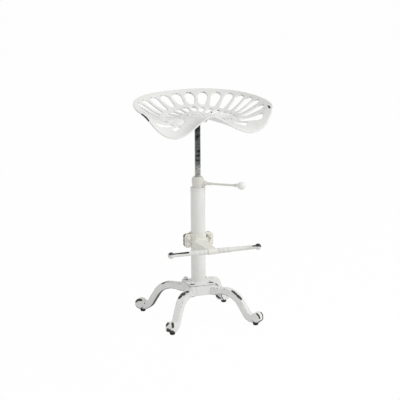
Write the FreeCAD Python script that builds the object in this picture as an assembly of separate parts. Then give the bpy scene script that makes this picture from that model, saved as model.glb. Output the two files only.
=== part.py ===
import FreeCAD, Part
import math
import os

# Height-adjustable stool with a slotted cast seat, a lift screw in a tube column,
# a clamped footrest and a base of four S-shaped legs that end in scrolls.
# Millimetres. The origin is on the floor under the column axis. +Z is up, and the
# front of the seat, with the footrest, faces -Y.

V = FreeCAD.Vector
UP = V(0, 0, 1)

# Fits and small gaps
running_gap = 0.06
bolt_gap = 0.25
body_gap = 0.3
stop_gap = 1.0

# Feet
scroll_reach = 214.0
foot_inset = 7.0
foot_height = 9.5
foot_top_radius = 10.4
foot_sole_radius = 8.2
foot_sole_edge = 1.2
foot_screw_radius = 3.0
foot_screw_depth = 9.0
foot_screw_recess = 5.0
foot_screw_head_radius = 5.0
foot_screw_head_height = 2.5

# Legs, drawn from the side as distance from the axis against height
leg_width = 25.0
leg_slope = 58.5
leg_root_top = 115.0
leg_root_bottom = 94.0
leg_root_in = 34.0
leg_root_width = 27.0
leg_ankle_depth = 25.1
top_knee_start = 101.8
top_knee_radius = 67.4
top_ankle_radius = 23.3
bottom_knee_start = 89.8
bottom_knee_radius = 65.7
bottom_ankle_radius = 41.4
haunch_start = 63.0
haunch_end = 78.0
bolt_recess_radius = 9.0
leg_edge_round = 2.5
scroll_radius = 17.5
scroll_width = 30.0
scroll_edge_round = 3.0

# Cast hub and plate between the legs
hub_side = 88.0
hub_bottom = 90.0
hub_top = 122.5
hub_wall = 8.0
hub_roof = 8.0
plate_side = 88.0
plate_thickness = 5.0
plate_corner = 3.0
base_bolt_spread = 33.0
weld_size = 4.0

# Bolts, nuts and washers
bolt_radius = 4.0
hex_across_flats = 13.0
hex_head_height = 5.3
nut_height = 6.5
washer_radius = 8.0
washer_thickness = 1.6
bolt_end = 2.5

# Column
column_radius = 24.15
column_wall = 3.2
column_length = 310.5
column_nut_radius = 24.7
column_nut_flange = 12.0
column_nut_spigot = 25.0
column_nut_chamfer = 1.2

# Lift screw and what it carries
screw_radius = 10.0
screw_pitch = 4.0
screw_journal_radius = 8.0
turns_up = 13
bush_height = 22.0
stop_washer_radius = 17.0
stop_washer_thickness = 4.0

# Lock collar with its handle
collar_radius = 20.0
collar_waist_radius = 18.5
collar_waist_height = 12.0
collar_height = 28.5
collar_cone_height = 7.0
collar_top_radius = 14.5
collar_boss_radius = 9.5
collar_boss_reach = 29.0
handle_height = 13.0
handle_angle = -38.0
handle_root_radius = 4.8
handle_root_end = 52.0
handle_rod_radius = 3.6
handle_socket_depth = 12.0
knob_reach = 150.0
knob_radius = 13.3
knob_neck_radius = 6.5
knob_neck_length = 7.0
knob_socket_depth = 11.0
knob_nut_across_flats = 11.0
knob_nut_height = 4.0

# Seat casting: points of the rim's upper edge, from the back centre to the front centre
rim_back_y = 163.0
rim_back_z = 750.0
rim_back_quarter_x = 113.0
rim_back_quarter_y = 139.0
rim_back_quarter_z = 749.0
rim_back_side_x = 187.0
rim_back_side_y = 80.0
rim_back_side_z = 744.0
rim_side_x = 218.0
rim_side_y = 7.0
rim_side_z = 739.0
rim_widest_x = 227.0
rim_widest_y = -64.0
rim_widest_z = 734.0
rim_front_side_x = 220.0
rim_front_side_y = -112.0
rim_front_side_z = 725.0
lobe_outer_x = 171.0
lobe_outer_y = -150.5
lobe_outer_z = 669.0
lobe_lowest_x = 135.0
lobe_lowest_y = -156.0
lobe_lowest_z = 656.0
lobe_inner_x = 46.5
lobe_inner_y = -141.5
lobe_inner_z = 692.5
pommel_y = -136.5
pommel_z = 713.5
pan_height = 692.0
pan_centre_y = -8.0
pan_sweep = 2.5
thigh_dish = 12.0
seat_wall = 5.5
seat_margin = 30.0
seat_grid = 21

# Slots of the seat, in two rings of ovals about the pan centre
slots_per_side = 10
slot_step = 14.0
slot_fan = 1.25
slot_swing = 7.0
slot_rib = 10.5
slot_widest = 33.0
rim_band = 12.0
lobe_band = 42.0
lobe_band_start = 95.0
lobe_band_spread = 35.0
outer_ring_x = 136.0
outer_ring_y = 130.0
outer_ring_forward = 23.0
ring_band = 14.0
petals_per_side = 9
petal_step = 15.5
petal_rib = 8.5
hub_oval_x = 62.0
hub_oval_y = 56.0

# Seat pad, plate and bolts under the hub
pad_side = 64.0
pad_depth = 3.5
seat_plate_side = 60.0
seat_plate_thickness = 4.5
seat_plate_corner = 8.0
seat_boss_radius = 13.5
seat_boss_height = 5.0
seat_bolt_spread = 20.0
seat_nut_height = 5.0
seat_bolt_end = 1.5
seat_bolt_head_radius = 7.5
seat_bolt_head_height = 4.2
spot_face_drop = 2.8
spot_face_radius = 9.5

# Footrest
footrest_height = 271.5
clamp_height = 45.0
clamp_wall = 8.0
ear_reach = 50.0
ear_thickness = 9.0
ear_corner = 6.0
split_gap = 2.4
clamp_bolt_reach = 39.0
clamp_bolt_spread = 11.0
arm_reach = 155.0
arm_drop = 2.5
arm_clamp_width = 31.0
arm_clamp_depth = 27.0
arm_end_width = 20.0
arm_end_depth = 15.0
eye_radius = 12.5
eye_end_radius = 10.0
eye_half_length = 22.0
bar_half_length = 154.5
bar_radius = 7.6
bar_eye_radius = 8.2
bar_end_radius = 11.0
bar_neck_radius = 7.0
ring_count = 5
ring_first = 28.0
ring_pitch = 9.0
ring_height = 1.4
ring_width = 4.0

# Sizes that follow from the ones above
foot_reach = scroll_reach - foot_inset
plate_top = hub_top + plate_thickness
column_top = plate_top + column_length
nut_top = column_top + column_nut_flange
collar_bottom = nut_top + body_gap
collar_top = collar_bottom + collar_height + collar_cone_height
handle_z = collar_bottom + handle_height
pad_bottom = pan_height - seat_wall - pad_depth
boss_bottom = pad_bottom - seat_plate_thickness - seat_boss_height
column_bore = column_radius - column_wall
bush_top = column_top - column_nut_spigot - stop_gap - turns_up * screw_pitch
bush_bottom = bush_top - bush_height
bar_z = footrest_height - arm_drop


def cylinder(radius, low, high, x=0.0, y=0.0):
    return Part.makeCylinder(radius, high - low, V(x, y, low), UP)


def box(x_low, x_high, y_low, y_high, z_low, z_high):
    return Part.makeBox(x_high - x_low, y_high - y_low, z_high - z_low, V(x_low, y_low, z_low))


def prism(points, rise):
    """Solid of a closed outline of straight edges, moved along rise."""
    return Part.Face(Part.makePolygon(points + [points[0]])).extrude(rise)


def turned(profile, start=V(0, 0, 0), axis=UP):
    """Solid turned about axis, from (radius, distance along the axis) points."""
    wire = Part.makePolygon([V(r, 0, z) for r, z in profile + [profile[0]]])
    solid = Part.Face(wire).revolve(V(0, 0, 0), UP, 360)
    solid.Placement = FreeCAD.Placement(start, FreeCAD.Rotation(UP, axis))
    return solid


def hexagon(across_flats, low, high, x, y):
    corner = across_flats / 2 / math.cos(math.radians(30))
    angles = [math.radians(30 + 60 * i) for i in range(6)]
    points = [V(x + corner * math.cos(a), y + corner * math.sin(a), low) for a in angles]
    return prism(points, V(0, 0, high - low))


def quarter_turns(shape):
    """The shape and its three copies, a quarter turn apart about the column axis."""
    copies = []
    for i in range(4):
        copy = shape.copy()
        copy.rotate(V(0, 0, 0), UP, 90 * i)
        copies.append(copy)
    return copies


def four_corners(spread):
    return [(x, y) for x in (-spread, spread) for y in (-spread, spread)]


def to_y_axis(shape):
    """A shape drawn upright along Z is laid down, so that its Z runs along -Y."""
    shape.rotate(V(0, 0, 0), V(1, 0, 0), 90)
    return shape


def rounded_plate(side, corner, low, high):
    plate = box(-side / 2, side / 2, -side / 2, side / 2, low, high)
    upright = [e for e in plate.Edges if abs(e.BoundBox.ZLength - (high - low)) < 1e-6]
    return plate.makeFillet(corner, upright)


def save(shape, name):
    shape = shape.removeSplitter() if len(shape.Solids) == 1 else shape
    if not shape.isValid() or shape.Volume <= 0:
        print("not valid:", name)
    shape.exportStep("parts/" + name + ".step")
    print(name, len(shape.Solids), "solid(s)", round(shape.Volume), "mm3")


# Legs


def s_curve(start, start_z, end_z, knee_radius, ankle_radius):
    """Edges from the level root down the slope to the level ankle, and where they end."""
    slope = math.radians(leg_slope)
    bow = (knee_radius + ankle_radius) * (1 - math.cos(slope))
    run = (start_z - end_z - bow) / math.sin(slope)
    knee_centre = V(start, 0, start_z - knee_radius)
    half = slope / 2
    knee_mid = knee_centre + knee_radius * V(math.sin(half), 0, math.cos(half))
    knee_end = knee_centre + knee_radius * V(math.sin(slope), 0, math.cos(slope))
    ankle_start = knee_end + run * V(math.cos(slope), 0, -math.sin(slope))
    ankle_centre = ankle_start + ankle_radius * V(math.sin(slope), 0, math.cos(slope))
    ankle_mid = ankle_centre - ankle_radius * V(math.sin(half), 0, math.cos(half))
    ankle_end = ankle_centre - V(0, 0, ankle_radius)
    knee = Part.Arc(V(start, 0, start_z), knee_mid, knee_end).toShape()
    straight = Part.LineSegment(knee_end, ankle_start).toShape()
    ankle = Part.Arc(ankle_start, ankle_mid, ankle_end).toShape()
    return [knee, straight, ankle], ankle_end


def leg_strip():
    """The S-shaped bar of the leg, drawn in the plane y = 0 and centred on it."""
    sole = foot_height
    top_edges, top_end = s_curve(
        top_knee_start, leg_root_top, sole + leg_ankle_depth, top_knee_radius, top_ankle_radius)
    low_edges, low_end = s_curve(
        bottom_knee_start, leg_root_bottom, sole, bottom_knee_radius, bottom_ankle_radius)
    toe_top = V(scroll_reach, 0, sole + leg_ankle_depth)
    toe_low = V(scroll_reach, 0, sole)
    root_top = V(leg_root_in, 0, leg_root_top)
    root_low = V(leg_root_in, 0, leg_root_bottom)
    edges = [Part.LineSegment(root_top, V(top_knee_start, 0, leg_root_top)).toShape()]
    edges += top_edges
    edges += [Part.LineSegment(top_end, toe_top).toShape()]
    edges += [Part.LineSegment(toe_top, toe_low).toShape()]
    edges += [Part.LineSegment(toe_low, low_end).toShape()]
    edges += low_edges[::-1]
    edges += [Part.LineSegment(V(bottom_knee_start, 0, leg_root_bottom), root_low).toShape()]
    edges += [Part.LineSegment(root_low, root_top).toShape()]
    wire = Part.Wire(Part.__sortEdges__(edges))
    strip = Part.Face(wire).extrude(V(0, leg_width, 0))
    strip.translate(V(0, -leg_width / 2, 0))
    long_edges = []
    for e in strip.Edges:
        level = e.BoundBox.YLength < 1e-6
        side = abs(abs(e.BoundBox.YMin) - leg_width / 2) < 1e-6
        inside = e.BoundBox.XMax - e.BoundBox.XMin > 1.0
        if level and side and inside:
            long_edges.append(e)
    return strip.makeFillet(leg_edge_round, long_edges)


def root_lug():
    """The wider end of the leg that sits in the hub's corner, with a haunch under it."""
    side = -leg_root_width / 2
    points = [V(leg_root_in, side, hub_bottom), V(haunch_start, side, hub_bottom),
              V(haunch_end, side, leg_root_bottom), V(haunch_end, side, leg_root_top),
              V(leg_root_in, side, leg_root_top)]
    return prism(points, V(0, leg_root_width, 0))


def root_pad():
    """The raised end of the root that the base plate clamps, with the plate's corner."""
    half = leg_root_width / 2
    block = box(leg_root_in, haunch_end, -half, half, leg_root_bottom, hub_top)
    corner = rounded_plate(plate_side, plate_corner, leg_root_bottom, hub_top)
    corner.rotate(V(0, 0, 0), UP, 45)
    return block.common(corner)


def scroll():
    """The rolled toe: a disc across the leg."""
    half = scroll_width / 2
    rim = scroll_edge_round
    profile = [(0, -half), (scroll_radius - rim, -half), (scroll_radius, -half + rim),
               (scroll_radius, half - rim), (scroll_radius - rim, half), (0, half)]
    return turned(profile, V(scroll_reach, 0, foot_height + scroll_radius), V(0, 1, 0))


def foot_screw():
    """Screw from inside the rubber foot up into the leg's toe."""
    low = foot_height - foot_screw_recess
    head = cylinder(foot_screw_head_radius, low, low + foot_screw_head_height, foot_reach)
    shank = cylinder(foot_screw_radius, low, foot_height + foot_screw_depth, foot_reach)
    return head.fuse(shank)


def leg():
    solid = leg_strip().fuse([root_lug(), root_pad(), scroll()])
    bolt_reach = base_bolt_spread * math.sqrt(2)
    solid = solid.cut(cylinder(bolt_radius + bolt_gap, hub_bottom, plate_top, bolt_reach))
    solid = solid.cut(cylinder(bolt_recess_radius, hub_bottom, leg_root_bottom, bolt_reach))
    return solid.cut(foot_screw())


def rubber_foot():
    low = foot_height - foot_screw_recess
    foot = turned([(0, 0), (foot_sole_radius - foot_sole_edge, 0), (foot_sole_radius, foot_sole_edge),
                   (foot_top_radius, foot_height), (0, foot_height)], V(foot_reach, 0, 0))
    return foot.cut(cylinder(foot_screw_head_radius, 0, low, foot_reach)).cut(foot_screw())


corner_names = ["back_right", "back_left", "front_left", "front_right"]
leg_shape = leg()
leg_shape.rotate(V(0, 0, 0), UP, 45)
legs = quarter_turns(leg_shape)
foot_shape = rubber_foot()
foot_shape.rotate(V(0, 0, 0), UP, 45)
feet = quarter_turns(foot_shape)
screw_shape = foot_screw()
screw_shape.rotate(V(0, 0, 0), UP, 45)
foot_screws = quarter_turns(screw_shape)

# Base hub, plate and their bolts


def base_hub():
    """Square casting with an open underside; the four leg roots sit in its corners."""
    half = hub_side / 2
    hub = rounded_plate(hub_side, plate_corner, hub_bottom, hub_top)
    inner = half - hub_wall
    hub = hub.cut(box(-inner, inner, -inner, inner, hub_bottom, hub_top - hub_roof))
    root = root_lug().fuse(root_pad())
    root.rotate(V(0, 0, 0), UP, 45)
    hub = hub.cut(quarter_turns(root))
    return hub


def base_plate():
    plate = rounded_plate(plate_side, plate_corner, hub_top, plate_top)
    weld = turned([(column_radius, plate_top - 1), (column_radius + weld_size, plate_top - 1),
                   (column_radius + weld_size, plate_top), (column_radius, plate_top + weld_size)])
    plate = plate.fuse(weld).cut(cylinder(column_bore, hub_top, plate_top))
    for x, y in four_corners(base_bolt_spread):
        plate = plate.cut(cylinder(bolt_radius + bolt_gap, hub_top, plate_top, x, y))
    return plate


def through_bolt(x, y, head_low, nut_high):
    """Hexagon bolt with its head below and its end above the nut."""
    head = hexagon(hex_across_flats, head_low, head_low + hex_head_height, x, y)
    return head.fuse(cylinder(bolt_radius, head_low, nut_high + bolt_end, x, y))


def washer(x, y, low):
    ring = cylinder(washer_radius, low, low + washer_thickness, x, y)
    return ring.cut(cylinder(bolt_radius, low, low + washer_thickness, x, y))


def nut(x, y, low, height):
    body = hexagon(hex_across_flats, low, low + height, x, y)
    return body.cut(cylinder(bolt_radius, low, low + height, x, y))


base_nut_low = plate_top + washer_thickness
base_nut_high = base_nut_low + nut_height
base_corners = four_corners(base_bolt_spread)
base_bolts = [through_bolt(x, y, leg_root_bottom - hex_head_height, base_nut_high) for x, y in base_corners]
base_washers = [washer(x, y, plate_top) for x, y in base_corners]
base_nuts = [nut(x, y, base_nut_low, nut_height) for x, y in base_corners]

# Column, its threaded nut, and the lift screw


def column_tube():
    tube = cylinder(column_radius, plate_top, column_top)
    return tube.cut(cylinder(column_bore, plate_top, column_top))


def column_nut():
    """Plug in the top of the column, with the thread that carries the lift screw."""
    edge = column_nut_chamfer
    low = column_top - column_nut_spigot
    thread = screw_radius + running_gap
    return turned([(thread, low), (column_bore, low), (column_bore, column_top),
                   (column_nut_radius, column_top), (column_nut_radius, nut_top - edge),
                   (column_nut_radius - edge, nut_top), (thread, nut_top)])


def lift_screw():
    journal_low = bush_bottom - body_gap
    journal_top = bush_top + body_gap
    screw = cylinder(screw_journal_radius, journal_low, journal_top)
    screw = screw.fuse([cylinder(screw_radius, journal_top, boss_bottom),
                        cylinder(screw_journal_radius, boss_bottom, pad_bottom)])
    return screw.cut(cylinder(bolt_radius, journal_low, journal_top))


def guide_bush():
    """Plain bush that steadies the foot of the screw in the column and slides without turning."""
    bush = cylinder(column_bore - running_gap, bush_bottom, bush_top)
    return bush.cut(cylinder(screw_journal_radius + running_gap, bush_bottom, bush_top))


def stop_washer():
    high = bush_bottom - body_gap
    return cylinder(stop_washer_radius, high - stop_washer_thickness, high).cut(
        cylinder(bolt_radius, high - stop_washer_thickness, high))


def stop_bolt():
    high = bush_bottom - body_gap - stop_washer_thickness
    head = hexagon(hex_across_flats, high - hex_head_height, high, 0, 0)
    return head.fuse(cylinder(bolt_radius, high - hex_head_height, bush_top + body_gap))


# Lock collar, handle and knob

handle_dir = V(math.cos(math.radians(handle_angle)), math.sin(math.radians(handle_angle)), 0)


def along_handle(reach):
    return V(0, 0, handle_z) + handle_dir * reach


def handle_turned(profile):
    """Solid turned about the handle's axis, from (radius, distance from the column axis) points."""
    return turned(profile, V(0, 0, handle_z), handle_dir)


def lock_collar():
    thread = screw_radius + running_gap
    low = collar_bottom
    waist = low + collar_waist_height
    shoulder = low + collar_height
    collar = turned([(thread, low), (collar_waist_radius, low), (collar_waist_radius, waist - 4),
                     (collar_radius, waist), (collar_radius, shoulder),
                     (collar_top_radius, collar_top), (thread, collar_top)])
    boss = handle_turned([(0, thread), (collar_boss_radius, thread),
                          (collar_boss_radius, collar_boss_reach - 2),
                          (collar_boss_radius - 2, collar_boss_reach), (0, collar_boss_reach)])
    socket_end = collar_boss_reach - handle_socket_depth
    collar = collar.fuse(boss).cut(cylinder(thread, low, collar_top))
    return collar.cut(handle_turned([(0, socket_end), (handle_rod_radius, socket_end),
                                     (handle_rod_radius, collar_boss_reach), (0, collar_boss_reach)]))


knob_back = knob_reach - math.sqrt(knob_radius ** 2 - knob_neck_radius ** 2) - knob_neck_length
knob_nut_start = knob_back - knob_nut_height
rod_end = knob_back + knob_socket_depth


def handle_rod():
    """Rod screwed into the collar's boss, with a thicker shank at its root."""
    start = collar_boss_reach - handle_socket_depth
    root = collar_boss_reach
    return handle_turned([(0, start), (handle_rod_radius, start), (handle_rod_radius, root),
                          (handle_root_radius, root), (handle_root_radius, handle_root_end - 3),
                          (handle_rod_radius, handle_root_end), (handle_rod_radius, rod_end), (0, rod_end)])


def knob_nut():
    """Thin lock nut that the knob is tightened against."""
    nut_solid = hexagon(knob_nut_across_flats, knob_nut_start, knob_back, 0, 0)
    nut_solid = nut_solid.cut(cylinder(handle_rod_radius, knob_nut_start, knob_back))
    nut_solid.Placement = FreeCAD.Placement(V(0, 0, handle_z), FreeCAD.Rotation(UP, handle_dir))
    return nut_solid


def knob():
    """Ball knob with a conical neck."""
    ball = Part.makeSphere(knob_radius, along_handle(knob_reach))
    neck = handle_turned([(0, knob_back), (knob_neck_radius - 1, knob_back),
                          (knob_neck_radius + 0.8, knob_reach), (0, knob_reach)])
    hole = handle_turned([(0, knob_back), (handle_rod_radius, knob_back),
                          (handle_rod_radius, rod_end), (0, rod_end)])
    return ball.fuse(neck).cut(hole)


# Seat casting


def rim_curve():
    """Closed smooth curve of the rim's upper edge."""
    half = [V(0, rim_back_y, rim_back_z), V(rim_back_quarter_x, rim_back_quarter_y, rim_back_quarter_z),
            V(rim_back_side_x, rim_back_side_y, rim_back_side_z), V(rim_side_x, rim_side_y, rim_side_z),
            V(rim_widest_x, rim_widest_y, rim_widest_z), V(rim_front_side_x, rim_front_side_y, rim_front_side_z),
            V(lobe_outer_x, lobe_outer_y, lobe_outer_z), V(lobe_lowest_x, lobe_lowest_y, lobe_lowest_z),
            V(lobe_inner_x, lobe_inner_y, lobe_inner_z), V(0, pommel_y, pommel_z)]
    mirrored = [V(-p.x, p.y, p.z) for p in half[-2:0:-1]]
    curve = Part.BSplineCurve()
    curve.interpolate(Points=half + mirrored, PeriodicFlag=True)
    return curve


rim = rim_curve()
rim_steps = 360
rim_polar = []
for i in range(rim_steps):
    step = (rim.LastParameter - rim.FirstParameter) / rim_steps
    p = rim.value(rim.FirstParameter + i * step)
    turn = math.degrees(math.atan2(p.x, p.y - pan_centre_y)) % 360
    rim_polar.append((turn, math.hypot(p.x, p.y - pan_centre_y), p.z))
rim_polar.sort()
rim_polar = ([(rim_polar[-1][0] - 360,) + rim_polar[-1][1:]] + rim_polar
             + [(rim_polar[0][0] + 360,) + rim_polar[0][1:]])


def rim_at(turn):
    """Distance of the rim from the pan centre, and its height, in a direction from the back."""
    turn = turn % 360
    for a, b in zip(rim_polar, rim_polar[1:]):
        if a[0] <= turn <= b[0]:
            share = (turn - a[0]) / max(b[0] - a[0], 1e-9)
            return a[1] + share * (b[1] - a[1]), a[2] + share * (b[2] - a[2])


def pan_surface_height(x, y):
    """The pan sweeps from its flat centre to the rim, with a shallow dish for each thigh."""
    turn = math.degrees(math.atan2(x, y - pan_centre_y))
    reach, height = rim_at(turn)
    share = math.hypot(x, y - pan_centre_y) / reach
    sweep = (height - pan_height) * share ** pan_sweep
    inside = max(0.0, 1 - share)
    dish = thigh_dish * 16 * share ** 2 * inside ** 2 * math.sin(math.radians(turn)) ** 2
    return pan_height + sweep - dish


def pan_slope(x, y):
    """Length that a vertical millimetre has along the surface normal, as 1 / cosine."""
    d = 2.0
    dx = (pan_surface_height(x + d, y) - pan_surface_height(x - d, y)) / (2 * d)
    dy = (pan_surface_height(x, y + d) - pan_surface_height(x, y - d)) / (2 * d)
    return math.sqrt(1 + dx * dx + dy * dy)


def pan_faces():
    """Upper and lower surface of the casting, one wall apart."""
    half_x = rim_widest_x + seat_margin
    low_y = lobe_lowest_y - seat_margin
    high_y = rim_back_y + seat_margin
    upper = []
    lower = []
    for i in range(seat_grid):
        x = half_x * (2 * i / (seat_grid - 1) - 1)
        upper_row = []
        lower_row = []
        for j in range(seat_grid):
            y = low_y + (high_y - low_y) * j / (seat_grid - 1)
            z = pan_surface_height(x, y)
            upper_row.append(V(x, y, z))
            lower_row.append(V(x, y, z - seat_wall * pan_slope(x, y)))
        upper.append(upper_row)
        lower.append(lower_row)
    faces = []
    for rows in (upper, lower):
        surface = Part.BSplineSurface()
        surface.interpolate(rows)
        faces.append(surface.toShape())
    return faces


def plan_curve_prism(low, high):
    """Upright solid on the rim's outline as seen from above."""
    count = 60
    step = (rim.LastParameter - rim.FirstParameter) / count
    points = [rim.value(rim.FirstParameter + i * step) for i in range(count)]
    outline = Part.BSplineCurve()
    outline.interpolate(Points=[V(p.x, p.y, low) for p in points], PeriodicFlag=True)
    return Part.Face(Part.Wire(outline.toShape())).extrude(V(0, 0, high - low))


def oval_reach(turn, half_x, half_y, forward=0.0):
    """Distance from the pan centre to an oval whose own centre lies further forward."""
    a = math.radians(turn)
    square = (math.sin(a) / half_x) ** 2 + (math.cos(a) / half_y) ** 2
    lean = math.cos(a) * forward / half_y ** 2
    return (math.sqrt(lean ** 2 + square * (1 - (forward / half_y) ** 2)) - lean) / square


def fan_turn(step_angle):
    """Steps that are wider at the back than at the sides, as a direction from the back."""
    a = math.radians(step_angle)
    return math.degrees(math.atan2(slot_fan * math.sin(a), math.cos(a)))


def plan_point(turn, reach, height):
    a = math.radians(turn)
    return V(reach * math.sin(a), pan_centre_y + reach * math.cos(a), height)


def slot(inner_end, outer_end, inner_radius, outer_radius, rise):
    """Tapered slot with round ends, cut straight down like the draft of the casting."""
    along = (outer_end - inner_end).normalize()
    across = V(along.y, -along.x, 0)
    near = inner_end + along * inner_radius
    far = outer_end - along * outer_radius
    lean = (outer_radius - inner_radius) / (far - near).Length
    side = across * math.sqrt(1 - lean * lean)
    near_left = near + (side - along * lean) * inner_radius
    near_right = near + (side * -1 - along * lean) * inner_radius
    far_left = far + (side - along * lean) * outer_radius
    far_right = far + (side * -1 - along * lean) * outer_radius
    edges = [Part.LineSegment(near_left, far_left).toShape(),
             Part.Arc(far_left, far + along * outer_radius, far_right).toShape(),
             Part.LineSegment(far_right, near_right).toShape(),
             Part.Arc(near_right, near - along * inner_radius, near_left).toShape()]
    return Part.Face(Part.Wire(edges)).extrude(V(0, 0, rise))


def end_radius(reach, step, rib, widest):
    """Half the width that a slot may have where its neighbours leave a rib of metal."""
    return min(widest, reach * math.radians(step) - rib) / 2


def slots(low, high):
    cuts = []
    for i in range(slots_per_side):
        turn = fan_turn((i + 0.5) * slot_step)
        step = fan_turn((i + 1) * slot_step) - fan_turn(i * slot_step)
        lobe = max(0.0, (turn - lobe_band_start) / lobe_band_spread)
        outer = rim_at(turn)[0] - rim_band - lobe_band * lobe ** 2
        inner_turn = turn + slot_swing * math.sin(math.radians(turn)) ** 2
        inner = oval_reach(inner_turn, outer_ring_x, outer_ring_y, outer_ring_forward)
        inner_radius = end_radius(inner, step, slot_rib, slot_widest)
        outer_radius = end_radius(outer - inner_radius, step, slot_rib, slot_widest)
        for side in (1, -1):
            cuts.append(slot(plan_point(side * inner_turn, inner, low), plan_point(side * turn, outer, low),
                             inner_radius, outer_radius, high - low))
    for i in range(petals_per_side):
        turn = fan_turn((i + 0.5) * petal_step)
        step = fan_turn((i + 1) * petal_step) - fan_turn(i * petal_step)
        outer = oval_reach(turn, outer_ring_x - ring_band, outer_ring_y - ring_band, outer_ring_forward)
        inner = oval_reach(turn, hub_oval_x, hub_oval_y)
        inner_radius = end_radius(inner + 4, step, petal_rib, slot_widest)
        outer_radius = end_radius(outer - inner_radius, step, petal_rib, slot_widest)
        for side in (1, -1):
            cuts.append(slot(plan_point(side * turn, inner, low), plan_point(side * turn, outer, low),
                             inner_radius, outer_radius, high - low))
    return cuts


head_low = pan_height - spot_face_drop
seat_corners = four_corners(seat_bolt_spread)


def seat():
    upper, lower = pan_faces()
    floor = lobe_lowest_z - 100
    roof = rim_back_z + 100
    column = plan_curve_prism(floor, roof)
    below_upper = upper.extrude(V(0, 0, floor - roof))
    below_lower = lower.extrude(V(0, 0, floor - roof))
    body = column.common(below_upper).cut(below_lower)
    pad = rounded_plate(pad_side, seat_plate_corner, pad_bottom, pad_bottom + pad_depth + seat_wall / 2)
    body = body.fuse(pad)
    body = body.cut(slots(floor, roof))
    for x, y in seat_corners:
        body = body.cut(cylinder(bolt_radius + bolt_gap, pad_bottom, roof, x, y))
        body = body.cut(cylinder(spot_face_radius, head_low, roof, x, y))
    return body


def seat_mount_plate():
    """Plate welded on the head of the lift screw."""
    plate_low = pad_bottom - seat_plate_thickness
    plate = rounded_plate(seat_plate_side, seat_plate_corner, plate_low, pad_bottom)
    plate = plate.fuse(turned([(0, boss_bottom), (seat_boss_radius - 2, boss_bottom),
                               (seat_boss_radius, plate_low), (0, plate_low)]))
    plate = plate.cut(cylinder(screw_journal_radius, boss_bottom, pad_bottom))
    for x, y in seat_corners:
        plate = plate.cut(cylinder(bolt_radius + bolt_gap, plate_low, pad_bottom, x, y))
    return plate


def seat_bolt(x, y):
    """Round-headed bolt from above, with its nut under the plate."""
    low = seat_nut_low - seat_bolt_end
    rim_height = seat_bolt_head_height / 3
    head = turned([(0, head_low), (seat_bolt_head_radius, head_low),
                   (seat_bolt_head_radius, head_low + rim_height),
                   (seat_bolt_head_radius * 0.7, head_low + seat_bolt_head_height * 0.85),
                   (0, head_low + seat_bolt_head_height)], V(x, y, 0))
    return head.fuse(cylinder(bolt_radius, low, head_low, x, y))


seat_nut_low = pad_bottom - seat_plate_thickness - washer_thickness - seat_nut_height
seat_bolts = [seat_bolt(x, y) for x, y in seat_corners]
seat_washers = [washer(x, y, seat_nut_low + seat_nut_height) for x, y in seat_corners]
seat_nuts = [nut(x, y, seat_nut_low, seat_nut_height) for x, y in seat_corners]

# Footrest: a two-part clamp on the column, an arm, and the bar

clamp_low = footrest_height - clamp_height / 2
clamp_high = footrest_height + clamp_height / 2
clamp_bore = column_radius + running_gap
clamp_radius = clamp_bore + clamp_wall
clamp_bolt_places = [(x, z) for x in (-clamp_bolt_reach, clamp_bolt_reach)
                     for z in (footrest_height - clamp_bolt_spread, footrest_height + clamp_bolt_spread)]


def clamp_ear_profile(y):
    """Outline of both ears seen from the front, with cut corners."""
    c = ear_corner
    points = [(-ear_reach + c, clamp_low), (ear_reach - c, clamp_low), (ear_reach, clamp_low + c),
              (ear_reach, clamp_high - c), (ear_reach - c, clamp_high), (-ear_reach + c, clamp_high),
              (-ear_reach, clamp_high - c), (-ear_reach, clamp_low + c)]
    return [V(x, y, z) for x, z in points]


def clamp_half(front):
    """Half of the clamp: a half barrel with two ears, on the front or the rear of the column."""
    side = -1 if front else 1
    barrel = cylinder(clamp_radius, clamp_low, clamp_high)
    ears = prism(clamp_ear_profile(side * split_gap / 2), V(0, side * ear_thickness, 0))
    far = clamp_radius + 1
    reach = sorted([side * split_gap / 2, side * far])
    barrel = barrel.common(box(-far, far, reach[0], reach[1], clamp_low, clamp_high))
    half = barrel.fuse(ears)
    if front:
        half = half.fuse(arm())
    half = half.cut(cylinder(clamp_bore, clamp_low - 1, clamp_high + 1))
    for x, z in clamp_bolt_places:
        hole = to_y_axis(cylinder(bolt_radius + bolt_gap, -far, far, x, z))
        half = half.cut(hole)
    return half


def arm():
    """Tapered arm from the clamp to the eye that holds the bar."""
    low = footrest_height - arm_clamp_depth / 2 - arm_drop * 3
    start = [V(-arm_clamp_width / 2, -clamp_bore - 1, low),
             V(arm_clamp_width / 2, -clamp_bore - 1, low),
             V(arm_clamp_width / 2, -clamp_bore - 1, low + arm_clamp_depth),
             V(-arm_clamp_width / 2, -clamp_bore - 1, low + arm_clamp_depth)]
    end_low = bar_z - arm_end_depth / 2
    end = [V(-arm_end_width / 2, -arm_reach, end_low),
           V(arm_end_width / 2, -arm_reach, end_low),
           V(arm_end_width / 2, -arm_reach, end_low + arm_end_depth),
           V(-arm_end_width / 2, -arm_reach, end_low + arm_end_depth)]
    web = Part.makeLoft([Part.makePolygon(start + [start[0]]), Part.makePolygon(end + [end[0]])], True, True)
    eye = turned([(0, -eye_half_length), (eye_end_radius, -eye_half_length), (eye_radius, -eye_half_length / 3),
                  (eye_radius, eye_half_length / 3), (eye_end_radius, eye_half_length), (0, eye_half_length)],
                 V(0, -arm_reach, bar_z), V(1, 0, 0))
    bore = Part.makeCylinder(bar_eye_radius, 2 * eye_half_length,
                             V(-eye_half_length, -arm_reach, bar_z), V(1, 0, 0))
    return web.fuse(eye).cut(bore)


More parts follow.
